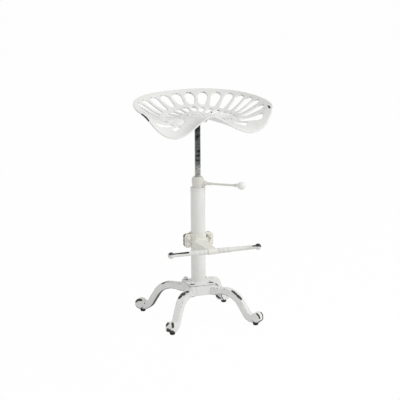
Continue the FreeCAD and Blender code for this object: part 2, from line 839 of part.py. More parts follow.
def footrest_bar():
    """Turned bar with ridges beside the eye and a round end on each side."""
    half = [(bar_eye_radius, 0), (bar_eye_radius, eye_half_length)]
    for i in range(ring_count):
        x = ring_first + i * ring_pitch
        half += [(bar_radius, x - ring_width / 2), (bar_radius + ring_height, x - ring_width / 4),
                 (bar_radius + ring_height, x + ring_width / 4), (bar_radius, x + ring_width / 2)]
    half += [(bar_neck_radius, bar_half_length)]
    profile = [(0, -bar_half_length)] + [(r, -x) for r, x in half[::-1]] + half[1:] + [(0, bar_half_length)]
    bar = turned(profile, V(0, -arm_reach, bar_z), V(1, 0, 0))
    for side in (-1, 1):
        bar = bar.fuse(Part.makeSphere(bar_end_radius, V(side * bar_half_length, -arm_reach, bar_z)))
    return bar


def clamp_bolts():
    front = split_gap / 2 + ear_thickness
    nut_low = front + washer_thickness
    bolts = []
    washers = []
    nuts = []
    for x, z in clamp_bolt_places:
        bolts.append(to_y_axis(through_bolt(x, z, -front - hex_head_height, nut_low + nut_height)))
        washers.append(to_y_axis(washer(x, z, front)))
        nuts.append(to_y_axis(nut(x, z, nut_low, nut_height)))
    return bolts, washers, nuts


os.makedirs("parts", exist_ok=True)
for name, shape in zip(corner_names, legs):
    save(shape, "leg_" + name)
for name, shape in zip(corner_names, feet):
    save(shape, "rubber_foot_" + name)
save(Part.makeCompound(foot_screws), "foot_screws")
save(base_hub(), "base_hub")
save(base_plate(), "base_plate")
save(Part.makeCompound(base_bolts), "base_bolts")
save(Part.makeCompound(base_washers), "base_washers")
save(Part.makeCompound(base_nuts), "base_nuts")
save(column_tube(), "column_tube")
save(column_nut(), "column_nut")
save(lift_screw(), "lift_screw")
save(guide_bush(), "guide_bush")
save(stop_washer(), "stop_washer")
save(stop_bolt(), "stop_bolt")
save(lock_collar(), "lock_collar")
save(handle_rod(), "handle_rod")
save(knob_nut(), "knob_nut")
save(knob(), "knob")
save(seat(), "seat")
save(seat_mount_plate(), "seat_mount_plate")
save(Part.makeCompound(seat_bolts), "seat_bolts")
save(Part.makeCompound(seat_washers), "seat_washers")
save(Part.makeCompound(seat_nuts), "seat_nuts")
save(clamp_half(True), "footrest_clamp_front")
save(clamp_half(False), "footrest_clamp_rear")
save(footrest_bar(), "footrest_bar")
bolts, washers, nuts = clamp_bolts()
save(Part.makeCompound(bolts), "clamp_bolts")
save(Part.makeCompound(washers), "clamp_washers")
save(Part.makeCompound(nuts), "clamp_nuts")
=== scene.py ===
import math

import bmesh
import bpy
import numpy as np
from mathutils import Matrix, Vector
from mathutils.bvhtree import BVHTree


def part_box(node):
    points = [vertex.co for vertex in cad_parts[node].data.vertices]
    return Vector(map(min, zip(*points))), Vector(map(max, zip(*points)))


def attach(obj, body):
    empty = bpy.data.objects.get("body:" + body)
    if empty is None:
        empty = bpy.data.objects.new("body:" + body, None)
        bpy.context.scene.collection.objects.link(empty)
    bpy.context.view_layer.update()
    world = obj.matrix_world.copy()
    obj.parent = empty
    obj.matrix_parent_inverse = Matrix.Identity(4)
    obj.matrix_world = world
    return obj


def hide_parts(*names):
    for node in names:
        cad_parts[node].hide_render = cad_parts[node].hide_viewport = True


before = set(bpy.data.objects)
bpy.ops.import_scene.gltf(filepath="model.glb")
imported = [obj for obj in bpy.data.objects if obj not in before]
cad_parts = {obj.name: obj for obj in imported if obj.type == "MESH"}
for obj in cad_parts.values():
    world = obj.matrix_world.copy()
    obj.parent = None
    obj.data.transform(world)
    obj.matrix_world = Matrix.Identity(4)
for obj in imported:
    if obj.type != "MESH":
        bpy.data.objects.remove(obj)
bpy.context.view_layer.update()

# Camera, at the photograph's angle: a long lens, a little above the height of the footrest,
# to the left of the front. Its numbers are those of a picture 400 pixels square.

camera_turn = math.radians(-20.4862)
camera_rise = math.radians(13.5263)
camera_roll = math.radians(-0.367)
camera_distance = 7.0
camera_focal_pixels = 2118.3064
camera_side = 0.0069181
camera_height = 0.4054573
picture_pixels = 400

camera_back = Vector((math.sin(camera_turn) * math.cos(camera_rise),
                      -math.cos(camera_turn) * math.cos(camera_rise), math.sin(camera_rise)))
level_right = Vector((math.cos(camera_turn), math.sin(camera_turn), 0))
level_up = camera_back.cross(level_right)
camera_right = math.cos(camera_roll) * level_right + math.sin(camera_roll) * level_up
camera_up = -math.sin(camera_roll) * level_right + math.cos(camera_roll) * level_up
camera_place = Vector((0, 0, camera_height)) + camera_side * camera_right + camera_distance * camera_back


def add_object(name, data):
    piece = bpy.data.objects.new(name, data)
    bpy.context.scene.collection.objects.link(piece)
    return piece


camera_data = bpy.data.cameras.new("camera")
camera = add_object("camera", camera_data)
camera_data.sensor_fit = "HORIZONTAL"
camera_data.sensor_width = 36.0
camera_data.lens = camera_focal_pixels / picture_pixels * camera_data.sensor_width
camera_data.clip_end = 100.0
turn_matrix = Matrix((camera_right, camera_up, camera_back)).transposed().to_4x4()
camera.matrix_world = Matrix.Translation(camera_place) @ turn_matrix
bpy.context.scene.camera = camera

# Floor and light: a plain pale floor, a pale world, and soft lamps like a studio's.
# The main lamp stands to the right, because the column's left side is the darker one.

floor_reach = 30
floor_white = (0.92, 0.92, 0.92, 1)
backdrop_white = (1, 1, 1, 1)
floor_glow_share = 0.975
world_strength = 0.55

floor_mesh = bpy.data.meshes.new("floor")
square = ((-1, -1), (1, -1), (1, 1), (-1, 1))
floor_mesh.from_pydata([(x * floor_reach, y * floor_reach, 0) for x, y in square], [], [(0, 1, 2, 3)])
floor = add_object("floor", floor_mesh)


def feed(tree, socket, value):
    """Links a socket, or sets it where the value is a number or a colour."""
    if isinstance(value, (int, float, tuple)):
        socket.default_value = value
    else:
        tree.links.new(value, socket)


def tree_node(tree, kind, **values):
    """A node with its named inputs linked or set."""
    node = tree.nodes.new(kind)
    for label, value in values.items():
        feed(tree, node.inputs[label.replace("_", " ")], value)
    return node


def math_node(tree, operation, a, b=0.0):
    node = tree.nodes.new("ShaderNodeMath")
    node.operation = operation
    feed(tree, node.inputs[0], a)
    feed(tree, node.inputs[1], b)
    return node.outputs[0]


def times(tree, a, b):
    return math_node(tree, "MULTIPLY", a, b)


def plus(tree, a, b):
    return math_node(tree, "ADD", a, b)


def minus(tree, a, b):
    return math_node(tree, "SUBTRACT", a, b)


def seen_directly(tree):
    """1 for what the camera or a glossy surface looks at, and 0 for the light that falls on the object."""
    path = tree.nodes.new("ShaderNodeLightPath").outputs
    return math_node(tree, "MAXIMUM", path["Is Camera Ray"], path["Is Glossy Ray"])


def show_mix(tree, kind, share, first, second):
    """Sends a mix of two shaders to the tree's output."""
    mix = tree_node(tree, "ShaderNodeMixShader", Fac=share)
    tree.links.new(first.outputs[0], mix.inputs[1])
    tree.links.new(second.outputs[0], mix.inputs[2])
    tree_node(tree, kind, Surface=mix.outputs[0])


floor_material = bpy.data.materials.new("pale_floor")
floor_material.use_nodes = True
tree = floor_material.node_tree
tree.nodes.clear()
show_mix(tree, "ShaderNodeOutputMaterial", times(tree, seen_directly(tree), floor_glow_share),
         tree_node(tree, "ShaderNodeBsdfDiffuse", Color=floor_white),
         tree_node(tree, "ShaderNodeEmission", Color=backdrop_white))
floor_mesh.materials.append(floor_material)

world = bpy.data.worlds.new("studio")
bpy.context.scene.world = world
world.use_nodes = True
tree = world.node_tree
tree.nodes.clear()
show_mix(tree, "ShaderNodeOutputWorld", seen_directly(tree),
         tree_node(tree, "ShaderNodeBackground", Color=backdrop_white, Strength=world_strength),
         tree_node(tree, "ShaderNodeBackground", Color=backdrop_white))


def soft_lamp(name, place, aim, size, power):
    lamp_data = bpy.data.lights.new(name, "AREA")
    lamp_data.shape = "DISK"
    lamp_data.size = size
    lamp_data.energy = power
    lamp = add_object(name, lamp_data)
    lamp.location = place
    lamp.rotation_mode = "QUATERNION"
    lamp.rotation_quaternion = (Vector(aim) - Vector(place)).to_track_quat("-Z", "Y")


lamp_aim = (0, 0, 0.4)
soft_lamp("key_lamp", (2.2, -1.9, 2.6), lamp_aim, size=1.6, power=54)
soft_lamp("fill_lamp", (-2.4, -2.4, 1.4), lamp_aim, size=2.2, power=10)
bpy.context.scene.view_settings.view_transform = "Standard"

# Legs: four sand castings of grey iron, S-shaped, each with a rolled scroll for a toe. They are sprayed
# with chalky white paint that is rubbed through to the dark iron on edges and on the scrolls.
# Faces that point down are made dark.

leg_grain = 0.0012
merge_distance = 1e-6
leg_names = ("leg_back_right", "leg_back_left", "leg_front_left", "leg_front_right")
leg_tint = (0.825, 0.82, 0.80, 1)
paint_white = (0.86, 0.855, 0.83, 1)
paint_cool = (0.87, 0.88, 0.88, 1)
paint_stain = (0.62, 0.60, 0.55, 1)
paint_thin = (0.42, 0.41, 0.385, 1)
iron_dark = (0.007, 0.007, 0.007, 1)
iron_brown = (0.034, 0.030, 0.027, 1)


def merged_shape(node):
    """A CAD node's triangles, joined at their corners."""
    shape = bmesh.new()
    shape.from_mesh(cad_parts[node].data)
    bmesh.ops.remove_doubles(shape, verts=shape.verts, dist=merge_distance)
    return shape


def shape_object(name, shape):
    """Turns a finished shape into an object."""
    mesh = bpy.data.meshes.new(name)
    shape.to_mesh(mesh)
    shape.free()
    return add_object(name, mesh)


def plain_mesh(piece):
    """The piece's mesh with its modifiers applied."""
    return bpy.data.meshes.new_from_object(piece.evaluated_get(bpy.context.evaluated_depsgraph_get()))


def cast_copy(node, grain, body, rounding=2, reshape=None):
    """A copy of a node with the soft edges of a casting: cut into even grains, then rubbed smooth."""
    piece = shape_object(node + "_cast", merged_shape(node))
    if reshape:
        reshape(piece.data)
    remesh = piece.modifiers.new("grain", "REMESH")
    remesh.mode = "VOXEL"
    remesh.voxel_size = grain
    remesh.use_smooth_shade = True
    smooth = piece.modifiers.new("rounding", "SMOOTH")
    smooth.iterations = rounding
    piece.data = plain_mesh(piece)
    piece.modifiers.clear()
    note_edges(piece.data, grain)
    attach(piece, body)
    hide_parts(node)
    return piece


def note_edges(mesh, grain):
    """Writes the attribute "edge": 0 on even ground, 1 where the surface turns sharply outwards."""
    sharp_turn = 0.07
    own_share = 0.4
    count = len(mesh.vertices)
    place = np.empty(count * 3)
    normal = np.empty(count * 3)
    ends = np.empty(len(mesh.edges) * 2, dtype=np.int32)
    mesh.vertices.foreach_get("co", place)
    mesh.vertices.foreach_get("normal", normal)
    mesh.edges.foreach_get("vertices", ends)
    place = place.reshape(-1, 3)
    normal = normal.reshape(-1, 3)
    ends = ends.reshape(-1, 2)
    neighbours = np.maximum(np.bincount(ends.ravel(), minlength=count), 1)

    def around(values):
        total = np.bincount(ends[:, 0], values[ends[:, 1]], count)
        total += np.bincount(ends[:, 1], values[ends[:, 0]], count)
        return total / neighbours

    middle = np.stack([around(place[:, k]) for k in range(3)], 1)
    turn = ((place - middle) * normal).sum(1) / grain
    for _ in range(3):
        turn = own_share * turn + (1 - own_share) * around(turn)
    edge = mesh.attributes.new("edge", "FLOAT", "POINT")
    edge.data.foreach_set("value", np.clip(turn / sharp_turn, 0, 1).astype(np.float32))


def new_group(name, inputs, outputs):
    """An empty shader group with named sockets."""
    group = bpy.data.node_groups.new(name, "ShaderNodeTree")
    for label, kind, value in inputs:
        socket = group.interface.new_socket(label, in_out="INPUT", socket_type=kind)
        socket.default_value = value
    for label, kind in outputs:
        group.interface.new_socket(label, in_out="OUTPUT", socket_type=kind)
    return group, group.nodes.new("NodeGroupInput").outputs, group.nodes.new("NodeGroupOutput").inputs


def noise_node(tree, place, scale, detail, roughness=0.5):
    noise = tree_node(tree, "ShaderNodeTexNoise", Vector=place, Scale=scale, Detail=detail,
                      Roughness=roughness)
    return noise.outputs["Fac"]


def vector_node(tree, operation, a, b=(0, 0, 0)):
    node = tree.nodes.new("ShaderNodeVectorMath")
    node.operation = operation
    feed(tree, node.inputs[0], a)
    feed(tree, node.inputs[1], b)
    return node.outputs["Value"] if operation in ("DOT_PRODUCT", "LENGTH") else node.outputs["Vector"]


def range_node(tree, value, low, high, to_low=0.0, to_high=1.0):
    """A soft step from low to high."""
    node = tree_node(tree, "ShaderNodeMapRange", Value=value, From_Min=low, From_Max=high,
                     To_Min=to_low, To_Max=to_high)
    node.interpolation_type = "SMOOTHSTEP"
    return node.outputs["Result"]


def mix_colour(tree, share, first, second):
    node = tree.nodes.new("ShaderNodeMix")
    node.data_type = "RGBA"
    feed(tree, node.inputs[0], share)
    feed(tree, node.inputs[6], first)
    feed(tree, node.inputs[7], second)
    return node.outputs[2]


def distressed_and_shaded_paint_group():
    """White paint on iron. Edge and Marks, from 0 to 1, say where the paint wears through to the iron and
    where shade is painted on it; noise breaks their outlines.
    """
    group, given, result = new_group(
        "distressed_and_shaded_paint",
        [("Place", "NodeSocketVector", (0, 0, 0)), ("Edge", "NodeSocketFloat", 0.0),
         ("Edge Wear", "NodeSocketFloat", 0.5), ("Patch", "NodeSocketFloat", 0.0),
         ("Grime", "NodeSocketFloat", 0.3), ("Tint", "NodeSocketColor", paint_white)],
        [("Colour", "NodeSocketColor"), ("Roughness", "NodeSocketFloat"), ("Height", "NodeSocketFloat")])
    place = given["Place"]
    cloud = noise_node(group, place, 14.0, 4.0)
    smear = noise_node(group, place, 60.0, 6.0, 0.65)
    sand = noise_node(group, place, 420.0, 4.0, 0.6)
    flake = noise_node(group, place, 170.0, 5.0, 0.7)
    coat = mix_colour(group, range_node(group, cloud, 0.35, 0.65, 0.0, 0.5), given["Tint"], paint_cool)
    stain = times(group, range_node(group, smear, 0.50, 0.78), given["Grime"])
    coat = mix_colour(group, stain, coat, paint_stain)
    edge_loss = times(group, given["Edge"], given["Edge Wear"])
    wear_and_shade = plus(group, edge_loss, given["Patch"])
    darkening = minus(group, plus(group, wear_and_shade, flake), 1.0)
    fully_dark = range_node(group, darkening, 0.0, 0.06)
    partly_dark = range_node(group, darkening, -0.14, 0.02, 0.0, 0.5)
    iron = mix_colour(group, sand, iron_dark, iron_brown)
    coat = mix_colour(group, partly_dark, coat, paint_thin)
    group.links.new(mix_colour(group, fully_dark, coat, iron), result["Colour"])
    group.links.new(plus(group, 0.44, times(group, smear, 0.16)), result["Roughness"])
    height = minus(group, times(group, sand, 0.4), fully_dark)
    group.links.new(height, result["Height"])
    return group


def wear_and_shade_streak_group():
    """A mask within Radius of the line from Start to End, for a place where the paint wears away, and also
    for painted shade and shadow.
    """
    group, given, result = new_group(
        "wear_and_shade_streak",
        [("Place", "NodeSocketVector", (0, 0, 0)), ("Start", "NodeSocketVector", (0, 0, 0)),
         ("End", "NodeSocketVector", (0, 0, 0)), ("Radius", "NodeSocketFloat", 0.01)],
        [("Mask", "NodeSocketFloat")])
    away = vector_node(group, "SUBTRACT", given["Place"], given["Start"])
    line = vector_node(group, "SUBTRACT", given["End"], given["Start"])
    square = plus(group, vector_node(group, "DOT_PRODUCT", line, line), 1e-9)
    along = math_node(group, "DIVIDE", vector_node(group, "DOT_PRODUCT", away, line), square)
    along = math_node(group, "MINIMUM", math_node(group, "MAXIMUM", along, 0.0), 1.0)
    nearest = group.nodes.new("ShaderNodeVectorMath")
    nearest.operation = "SCALE"
    group.links.new(line, nearest.inputs[0])
    group.links.new(along, nearest.inputs["Scale"])
    gap = vector_node(group, "LENGTH", vector_node(group, "SUBTRACT", away, nearest.outputs[0]))
    share = math_node(group, "DIVIDE", gap, given["Radius"])
    group.links.new(range_node(group, share, 1.0, 0.55), result["Mask"])
    return group


def dark_underside_group():
    """A mask of the faces that point down, which are made dark."""
    group, given, result = new_group(
        "dark_underside",
        [("Normal", "NodeSocketVector", (0, 0, 1)), ("Place", "NodeSocketVector", (0, 0, 0))],
        [("Mask", "NodeSocketFloat")])
    split = tree_node(group, "ShaderNodeSeparateXYZ", Vector=given["Normal"])
    ragged = times(group, noise_node(group, given["Place"], 90.0, 4.0), 0.3)
    slope = plus(group, split.outputs["Z"], ragged)
    group.links.new(range_node(group, slope, -0.05, -0.30), result["Mask"])
    return group


distressed_and_shaded_paint = distressed_and_shaded_paint_group()
wear_and_shade_streak = wear_and_shade_streak_group()
dark_underside = dark_underside_group()


def place_group(tree, group, **values):
    node = tree.nodes.new("ShaderNodeGroup")
    node.node_tree = group
    for label, value in values.items():
        feed(tree, node.inputs[label.replace("_", " ")], value)
    return node.outputs


def new_finish(name):
    """A new material, its tree, its shader and its texture coordinates."""
    material = bpy.data.materials.new(name)
    material.use_nodes = True
    tree = material.node_tree
    return material, tree, tree.nodes["Principled BSDF"], tree.nodes.new("ShaderNodeTexCoord").outputs


def add_relief(tree, shader, height, strength, distance):
    relief = tree_node(tree, "ShaderNodeBump", Height=height, Strength=strength, Distance=distance)
    tree.links.new(relief.outputs["Normal"], shader.inputs["Normal"])


def white_paint_worn_and_shaded(name, tint=paint_white, edge_wear=0.42, grime=0.3, streaks=(), underside=0.0,
                     shade_mask=None):
    """White paint on a cast piece, with wear and in places painted shade. streaks holds (start, end, radius,
    strength), in metres; some streaks are painted shade and shadow.
    """
    material, tree, shader, coordinates = new_finish(name)
    place = coordinates["Object"]
    edge = tree.nodes.new("ShaderNodeAttribute")
    edge.attribute_name = "edge"
    marked = 0.0
    for start, end, radius, strength in streaks:
        mask = place_group(tree, wear_and_shade_streak, Place=place, Start=start, End=end, Radius=radius)["Mask"]
        marked = math_node(tree, "MAXIMUM", marked, times(tree, mask, strength))
    if underside:
        mask = place_group(tree, dark_underside, Normal=coordinates["Normal"], Place=place)["Mask"]
        marked = math_node(tree, "MAXIMUM", marked, times(tree, mask, underside))
    if shade_mask:
        marked = math_node(tree, "MAXIMUM", marked, shade_mask(tree, coordinates))
    paint = place_group(tree, distressed_and_shaded_paint, Place=place, Edge=edge.outputs["Fac"], Edge_Wear=edge_wear,
                        Patch=marked, Grime=grime, Tint=tint)
    tree.links.new(paint["Colour"], shader.inputs["Base Color"])
    tree.links.new(paint["Roughness"], shader.inputs["Roughness"])
    add_relief(tree, shader, paint["Height"], 0.25, 0.0004)
    return material


def finish_piece(piece, material):
    piece.data.materials.append(material)


# On the front-left leg, the last mark, low on the scroll's end, is partly worn paint and partly painted
# shade.
leg_streaks = {
    "leg_back_right": [((0.1124, 0.1212, 0.0310), (0.1212, 0.1204, 0.0231), 0.0075, 1.1)],
    "leg_back_left": [((-0.0960, 0.0818, 0.1105), (-0.0811, 0.0769, 0.1142), 0.0060, 1.2),
                      ((-0.1703, 0.1490, 0.0370), (-0.1660, 0.1454, 0.0430), 0.0072, 1.30),
                      ((-0.1660, 0.1454, 0.0430), (-0.1575, 0.1369, 0.0442), 0.0076, 1.30),
                      ((-0.1469, 0.1292, 0.0310), (-0.1475, 0.1285, 0.0300), 0.0024, 1.2)],
    "leg_front_left": [((-0.0591, -0.0593, 0.1150), (-0.0700, -0.0672, 0.1150), 0.0060, 1.25),
                       ((-0.0780, -0.0745, 0.1147), (-0.0880, -0.0830, 0.1120), 0.0078, 1.22),
                       ((-0.0950, -0.0885, 0.1089), (-0.1010, -0.0920, 0.1055), 0.0066, 1.25),
                       ((-0.0850, -0.0890, 0.1120), (-0.0800, -0.0850, 0.1130), 0.0050, 1.20),
                       ((-0.0700, -0.0770, 0.1145), (-0.0620, -0.0700, 0.1150), 0.0050, 1.20),
                       ((-0.1692, -0.1538, 0.0370), (-0.1637, -0.1532, 0.0413), 0.0055, 1.30),
                       ((-0.1507, -0.1602, 0.0435), (-0.1530, -0.1713, 0.0333), 0.0050, 1.30),
                       ((-0.1665, -0.1603, 0.0232), (-0.1611, -0.1645, 0.0204), 0.0055, 1.30)],
    "leg_front_right": [((0.0852, -0.0964, 0.1095), (0.0925, -0.1055, 0.1030), 0.0060, 1.15),
                        ((0.0985, -0.1110, 0.0960), (0.1070, -0.1150, 0.0865), 0.0072, 1.15),
                        ((0.0860, -0.1010, 0.1075), (0.1020, -0.1180, 0.0880), 0.0026, 1.10),
                        ((0.1442, -0.1621, 0.0436), (0.1483, -0.1695, 0.0366), 0.0034, 1.20),
                        ((0.1483, -0.1695, 0.0366), (0.1501, -0.1713, 0.0300), 0.0034, 1.20),
                        ((0.1634, -0.1518, 0.0421), (0.1659, -0.1596, 0.0336), 0.0042, 1.20),
                        ((0.1659, -0.1596, 0.0336), (0.1629, -0.1617, 0.0190), 0.0042, 1.20)]}
for name in leg_names:
    # Faces that point down are made dark: strongly on three legs, lightly on the back-right one.
    underside_darkening = 0.25 if name == "leg_back_right" else 1.1
    leg_paint = white_paint_worn_and_shaded(name + "_paint", leg_tint, edge_wear=0.44, streaks=leg_streaks[name],
                                 underside=underside_darkening)
    finish_piece(cast_copy(name, leg_grain, "base", rounding=4), leg_paint)

# Feet: black rubber stubs under the toes, moulded and slightly dusty.
# Each is held by a steel screw that is sunk into it, blackened and oiled.

foot_grain = 0.0006


def spotted_finish(name, dark, bright, roughness, spots):
    """One colour with spots of another, which are also a little rougher."""
    material, tree, shader, coordinates = new_finish(name)
    scale, detail, grit, low, high = spots
    spot = range_node(tree, noise_node(tree, coordinates["Object"], scale, detail, grit), low, high)
    tree.links.new(mix_colour(tree, spot, dark, bright), shader.inputs["Base Color"])
    tree.links.new(plus(tree, times(tree, spot, 0.2), roughness), shader.inputs["Roughness"])
    return material, shader.inputs


black_rubber, rubber_sockets = spotted_finish(
    "black_rubber", (0.006, 0.006, 0.006, 1), (0.022, 0.021, 0.020, 1), 0.55, (160.0, 4.0, 0.6, 0.45, 0.75))
rubber_sockets["Specular IOR Level"].default_value = 0.3
for name in leg_names:
    foot = cast_copy(name.replace("leg", "rubber_foot"), foot_grain, "base")
    finish_piece(foot, black_rubber)


def oiled_metal(name, dark, bright, roughness):
    """Metal that has been blackened and oiled: dark, with brighter rubbed spots."""
    material, sockets = spotted_finish(name, dark, bright, roughness, (240.0, 5.0, 0.65, 0.40, 0.70))
    sockets["Metallic"].default_value = 0.8
    return material


blackened_steel = oiled_metal("blackened_steel", (0.05, 0.05, 0.052, 1), (0.16, 0.16, 0.165, 1), 0.32)


def dress(node, material):
    """Gives a CAD node that stays its finish."""
    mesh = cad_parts[node].data
    mesh.materials.clear()
    mesh.materials.append(material)


dress("foot_screws", blackened_steel)

# Hub: a square box casting, open below, whose corners hold the roots of the legs. Above it lies the
# sawn steel base plate with the column's weld. Both wear the same white paint.

hub_grain = 0.0011
plate_grain = 0.0008
hub_wear, hub_grime = 0.30, 0.2
hub_paint = white_paint_worn_and_shaded("hub_paint", edge_wear=hub_wear, grime=hub_grime, underside=0.8)
finish_piece(cast_copy("base_hub", hub_grain, "base", rounding=3), hub_paint)
# Painted shadow: a narrow dark line along the plate's lower front and left edges, where it meets the hub.
(left, front, bottom), (right, rear, _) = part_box("base_plate")
joint_shadow_ends = ((right - 0.006, front, bottom), (left, rear, bottom))
joint_shadows = [((left, front, bottom), end, 0.0016, 0.68) for end in joint_shadow_ends]
plate_paint = white_paint_worn_and_shaded("plate_paint", edge_wear=hub_wear, grime=hub_grime, streaks=joint_shadows)
finish_piece(cast_copy("base_plate", plate_grain, "base"), plate_paint)

# Bolts, washers and nuts of the base, the clamp and the seat: M8 hexagon steel, painted over after they
# were tightened. On the base and the clamp, a dark ring of painted shadow lies round the foot of each nut.

chamfer_start = 0.95
chamfer_slope = math.tan(math.radians(30))
end_dome = 18.0


def geometry_tree(name, sizes, **others):
    """An empty geometry tree with a named input for each size, for the finish and for others."""
    tree = bpy.data.node_groups.new(name, "GeometryNodeTree")
    kinds = {"Geometry": "Geometry"} | {size: "Float" for size in sizes} | others | {"Finish": "Material"}
    for label, kind in kinds.items():
        tree.interface.new_socket(label, in_out="INPUT", socket_type="NodeSocket" + kind)
    tree.interface.new_socket("Geometry", in_out="OUTPUT", socket_type="NodeSocketGeometry")
    return tree, tree.nodes.new("NodeGroupInput").outputs, tree.nodes.new("NodeGroupOutput").inputs


def point_place(tree):
    """The x, y and z of each point that a geometry tree works on."""
    position = tree.nodes.new("GeometryNodeInputPosition").outputs[0]
    return tree_node(tree, "ShaderNodeSeparateXYZ", Vector=position).outputs


def grow(name, tree, points, values, body, node):
    """Runs a geometry tree on a set of points, and keeps the result as a plain mesh in a node's place."""
    mesh = bpy.data.meshes.new(name)
    mesh.from_pydata(points, [], [])
    piece = add_object(name, mesh)
    modifier = piece.modifiers.new("build", "NODES")
    modifier.node_group = tree
    for item in tree.interface.items_tree:
        if item.in_out == "INPUT" and item.name in values:
            modifier[item.identifier] = values[item.name]
    piece.data = plain_mesh(piece)
    piece.modifiers.clear()
    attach(piece, body)
    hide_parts(node)


def stand_on_points(tree, given, result, shape, **turn):
    """Ends a tree: the shape stands on each point, is made real there, and gets its finish."""
    placed = tree_node(tree, "GeometryNodeInstanceOnPoints", Points=given["Geometry"], Instance=shape, **turn)
    real = tree_node(tree, "GeometryNodeRealizeInstances", Geometry=placed.outputs[0])
    painted = tree_node(tree, "GeometryNodeSetMaterial", Geometry=real.outputs[0], Material=given["Finish"])
    tree.links.new(painted.outputs[0], result["Geometry"])


def hexagon_tree():
    """A hexagon with chamfered corners and a bore, and a round shank with a domed end, at each point."""
    sizes = ("Across Flats", "Height", "Bore", "Shank Radius", "Shank Length")
    tree, given, result = geometry_tree("hexagon_fasteners", sizes, Tilt="Vector")
    apothem = times(tree, given["Across Flats"], 0.5)
    blank = tree_node(tree, "GeometryNodeMeshCylinder", Vertices=48, Fill_Segments=3, Radius=1.0,
                      Depth=given["Height"])
    x, y, z = point_place(tree)
    angle = math_node(tree, "ARCTAN2", y, x)
    wrap = tree.nodes.new("ShaderNodeMath")
    wrap.operation = "WRAP"
    for socket, value in zip(wrap.inputs, (angle, math.pi / 6, -math.pi / 6)):
        feed(tree, socket, value)
    corner = math_node(tree, "DIVIDE", apothem, math_node(tree, "COSINE", wrap.outputs[0]))
    # The blank has three rings of points. The outer one makes the corners, and the inner one the bore.
    ring = math_node(tree, "SQRT", plus(tree, times(tree, x, x), times(tree, y, y)))
    outer = math_node(tree, "GREATER_THAN", ring, 0.9)
    inner = math_node(tree, "LESS_THAN", ring, 0.5)
    face = times(tree, apothem, chamfer_start)
    beyond = minus(tree, corner, face)
    drop = times(tree, times(tree, beyond, chamfer_slope), outer)
    drop = times(tree, drop, math_node(tree, "SIGN", z))
    reach = plus(tree, face, times(tree, outer, beyond))
    reach = plus(tree, reach, times(tree, inner, minus(tree, given["Bore"], face)))
    formed = tree_node(tree, "ShaderNodeCombineXYZ",
                       X=times(tree, reach, math_node(tree, "COSINE", angle)),
                       Y=times(tree, reach, math_node(tree, "SINE", angle)),
                       Z=minus(tree, z, drop))
    hexagon = tree_node(tree, "GeometryNodeSetPosition", Geometry=blank.outputs["Mesh"],
                        Position=formed.outputs[0])
    shank = tree_node(tree, "GeometryNodeMeshCylinder", Vertices=24, Fill_Segments=3,
                      Radius=given["Shank Radius"], Depth=given["Shank Length"])
    middle = times(tree, given["Shank Length"], 0.5)
    end_drop = times(tree, math_node(tree, "SIGN", z), times(tree, end_dome, times(tree, ring, ring)))
    moved = tree_node(tree, "ShaderNodeCombineXYZ", Z=minus(tree, middle, end_drop))
    domed = tree_node(tree, "GeometryNodeSetPosition", Geometry=shank.outputs["Mesh"],
                      Offset=moved.outputs[0])
    has_shank = tree.nodes.new("GeometryNodeSwitch")
    has_shank.input_type = "GEOMETRY"
    tree.links.new(math_node(tree, "GREATER_THAN", given["Shank Length"], 0.0), has_shank.inputs["Switch"])
    tree.links.new(domed.outputs[0], has_shank.inputs["True"])
    join = tree.nodes.new("GeometryNodeJoinGeometry")
    tree.links.new(hexagon.outputs[0], join.inputs[0])
    tree.links.new(has_shank.outputs[0], join.inputs[0])
    euler = tree_node(tree, "FunctionNodeEulerToRotation", Euler=given["Tilt"])
    stand_on_points(tree, given, result, join.outputs[0], Rotation=euler.outputs[0])
    return tree


hexagon_fasteners = hexagon_tree()
across_flats = 0.013
head_height = 0.0053
nut_height = 0.0065
shank_radius = 0.004
washer_grain = 0.0004


def grow_hexagons(name, places, height, bore, finish, body, node, shank=0.0, tilt=(0.0, 0.0, 0.0)):
    """A set of nuts, or of bolts where shank gives a length, in the place of one node."""
    values = {"Across Flats": across_flats, "Height": height, "Bore": bore, "Shank Radius": shank_radius,
              "Shank Length": shank, "Tilt": tilt, "Finish": finish}
    grow(name, hexagon_fasteners, places, values, body, node)


def middle_of(node, axis):
    low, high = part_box(node)
    return (low[axis] + high[axis]) / 2


def four_corners(spread, height):
    return [(x, y, height) for x in (-spread, spread) for y in (-spread, spread)]


base_spread = 0.033
washer_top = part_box("base_washers")[1][2]
# Painted shadow: a dark ring round the foot of each base nut, where it meets the washer.
base_nut_shadows = [(corner, corner, 0.0102, 0.68) for corner in four_corners(base_spread, washer_top)]
base_paint = white_paint_worn_and_shaded("base_fastener_paint", edge_wear=0.2, streaks=base_nut_shadows)
grow_hexagons("base_nut_set", four_corners(base_spread, middle_of("base_nuts", 2)), nut_height, shank_radius,
              base_paint, "base", "base_nuts")
bolt_low, bolt_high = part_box("base_bolts")
head_middle = bolt_low[2] + head_height / 2
grow_hexagons("base_bolt_set", four_corners(base_spread, head_middle), head_height, shank_radius / 2,
              base_paint, "base", "base_bolts", bolt_high[2] - head_middle)
finish_piece(cast_copy("base_washers", washer_grain, "base", rounding=1), base_paint)

# Column: a plain steel tube, 48.3 mm, welded to the base plate and sprayed white. The paint is smooth
# and whole, with a faint orange peel, and faint smears of dirt.

sharp_angle = math.radians(35)
tube_warm_white = (0.825, 0.822, 0.79, 1)
tube_white = (0.85, 0.85, 0.83, 1)


def turned_copy(node, body):
    """A copy of a turned part whose round faces are smooth and whose edges stay sharp."""
    shape = merged_shape(node)
    for face in shape.faces:
        face.smooth = True
    for edge in shape.edges:
        edge.smooth = len(edge.link_faces) == 2 and edge.calc_face_angle(0.0) < sharp_angle
    piece = shape_object(node + "_turned", shape)
    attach(piece, body)
    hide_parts(node)
    return piece


